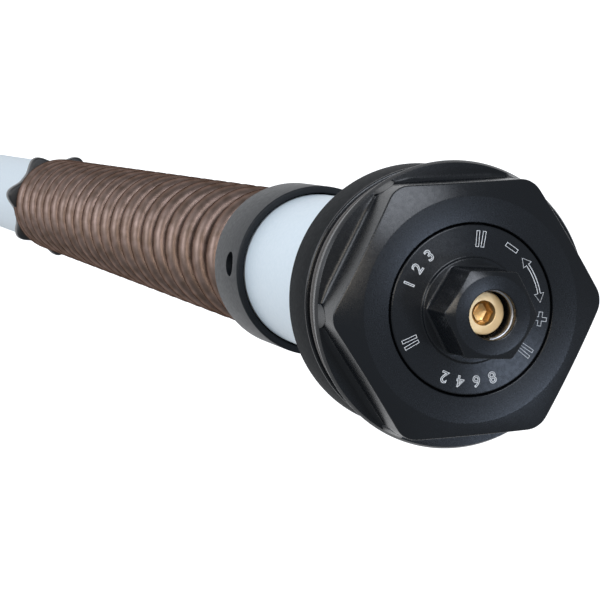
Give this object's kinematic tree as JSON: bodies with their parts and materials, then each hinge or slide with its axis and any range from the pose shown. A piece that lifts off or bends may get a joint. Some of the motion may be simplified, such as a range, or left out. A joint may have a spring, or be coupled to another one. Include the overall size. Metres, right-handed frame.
{
  "type": "fork cartridge",
  "caption": "Slim suspension fork cartridge: hexagon cap with preload dial and brass damping screw, preload tube, coil spring on a lobed seat and a tubular damper.",
  "frame": {"origin": "on the cartridge's axis, in the plane of the cap face that seats on the end of the fork tube", "axes": "+Z along the cartridge, out of the cap; +X towards a corner of the cap's hexagon"},
  "size_m": [0.0466, 0.0466, 0.6209],
  "materials": {
    "black_anodised": "black anodised, satin",
    "clear_anodised": "clear anodised, satin",
    "bare_aluminium": "turned",
    "steel": "ground",
    "chromed_rod": "hard chromed and polished",
    "spring_steel": "oil-tempered wire",
    "brass": "turned",
    "black_plastic": "moulded",
    "pale_plastic": "cut from strip",
    "black_rubber": "moulded"
  },
  "bodies": {
    "cap": {"fork_cap": "black_anodised", "cap_ring": "black_rubber", "skirt_seal": "black_rubber", "rod_holder": "bare_aluminium", "holder_circlip": "steel", "rod_lock_nut": "steel", "main_spring": "spring_steel", "piston_rod": "chromed_rod", "top_out_ring": "black_rubber", "stop_washer": "steel", "rebound_shims": "steel", "compression_shims": "steel", "piston_nut": "steel", "piston": "bare_aluminium", "piston_band": "pale_plastic"},
    "preload_adjuster": {"preload_adjuster": "black_anodised", "dial_seal": "black_rubber", "snap_ring": "steel"},
    "preload_slider": {"preload_nut": "bare_aluminium", "push_pin_1": "steel", "push_pin_2": "steel", "push_pin_3": "steel", "push_washer": "steel", "preload_tube": "clear_anodised", "spring_collar": "black_anodised"},
    "damping_adjuster": {"damping_screw": "brass", "screw_seal": "black_rubber"},
    "needle": {"metering_rod": "bare_aluminium"},
    "damper": {"spring_seat": "black_plastic", "seal_head": "black_anodised", "rod_seal": "black_rubber", "rod_bush": "brass", "head_seal": "black_rubber", "damper_tube": "clear_anodised", "valve_bolt": "steel", "base_valve": "bare_aluminium", "base_shims": "steel", "base_plug": "black_anodised", "plug_seal": "black_rubber"}
  },
  "joints": [
    {"name": "preload_turn", "type": "hinge", "parent": "cap", "child": "preload_adjuster", "pos_m": [0, 0, 0.0265], "axis": [0, 0, -1], "range_deg": [0, 2880]},
    {"name": "preload_slide", "type": "slide", "parent": "cap", "child": "preload_slider", "axis": [0, 0, -1], "range_m": [0, 0.012], "deforming": ["main_spring"]},
    {"name": "damping_turn", "type": "hinge", "parent": "cap", "child": "damping_adjuster", "pos_m": [0, 0, 0.0305], "axis": [0, 0, -1], "range_deg": [0, 1080]},
    {"name": "needle_slide", "type": "slide", "parent": "cap", "child": "needle", "axis": [0, 0, -1], "range_m": [0, 0.003]},
    {"name": "damper_stroke", "type": "slide", "parent": "cap", "child": "damper", "axis": [0, 0, 1], "range_m": [0, 0.12], "stiffness_N_per_m": 10500, "springref_m": -0.005, "deforming": ["main_spring"]}
  ],
  "couplings": [
    {"joint": "preload_turn", "follows": "preload_slide", "rad_per_m": 4188.8},
    {"joint": "damping_turn", "follows": "needle_slide", "rad_per_m": 6283.2}
  ]
}
